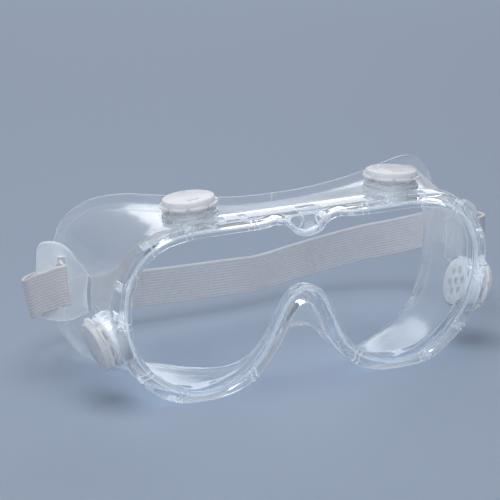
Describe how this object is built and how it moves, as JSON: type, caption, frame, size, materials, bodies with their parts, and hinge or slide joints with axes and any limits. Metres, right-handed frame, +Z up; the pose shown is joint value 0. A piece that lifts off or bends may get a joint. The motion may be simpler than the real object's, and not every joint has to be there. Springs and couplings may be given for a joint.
{
  "type": "safety goggles",
  "caption": "Clear splash goggles: soft face skirt holding a flat clear lens, brimmed indirect vents that turn on their seats, and an elastic headband looped through moulded lugs.",
  "frame": {"origin": "bottom centre of the whole object as it lies: on the table, half way between the front face of the rim and the back of the headband, 1.3 mm from the plane through the middle of the nose", "axes": "+X to the wearer's left (right in a front view), +Y towards the wearer's head, +Z up"},
  "size_m": [0.227, 0.0924, 0.0899],
  "materials": {
    "soft_clear": "clear soft vinyl, glossy, slightly hazy",
    "clear_lens": "clear hard sheet, polished",
    "vent_plastic": "milky translucent moulding, satin",
    "elastic_webbing": "ribbed woven elastic, light grey",
    "thread": "pale sewing thread"
  },
  "bodies": {
    "goggles": {"frame": "soft_clear", "lens": "clear_lens", "vent_seat_top_left": "vent_plastic", "vent_seat_top_right": "vent_plastic", "vent_seat_side_left": "vent_plastic", "vent_seat_side_right": "vent_plastic"},
    "cap_top_left": {"vent_cap_top_left": "vent_plastic"},
    "cap_top_right": {"vent_cap_top_right": "vent_plastic"},
    "cap_side_left": {"vent_cap_side_left": "vent_plastic"},
    "cap_side_right": {"vent_cap_side_right": "vent_plastic"},
    "headband": {"strap": "elastic_webbing", "stitching_left": "thread", "stitching_right": "thread"}
  },
  "joints": [
    {"name": "cap_top_left_turn", "type": "hinge", "parent": "goggles", "child": "cap_top_left", "pos_m": [-0.04666, -0.02817, 0.07874], "axis": [-0.0692, 0.1219, 0.9901], "continuous": true},
    {"name": "cap_top_right_turn", "type": "hinge", "parent": "goggles", "child": "cap_top_right", "pos_m": [0.04934, -0.02817, 0.07874], "axis": [0.0692, 0.1219, 0.9901], "continuous": true},
    {"name": "cap_side_left_turn", "type": "hinge", "parent": "goggles", "child": "cap_side_left", "pos_m": [-0.08325, -0.03078, 0.03024], "axis": [-0.9432, -0.066, -0.3256], "continuous": true},
    {"name": "cap_side_right_turn", "type": "hinge", "parent": "goggles", "child": "cap_side_right", "pos_m": [0.08594, -0.03078, 0.03024], "axis": [0.9432, -0.066, -0.3256], "continuous": true},
    {"name": "strap_tilt", "type": "hinge", "parent": "goggles", "child": "headband", "pos_m": [0.00135, -0.00498, 0.04474], "axis": [1, 0, 0], "range_deg": [-5, 6]}
  ]
}
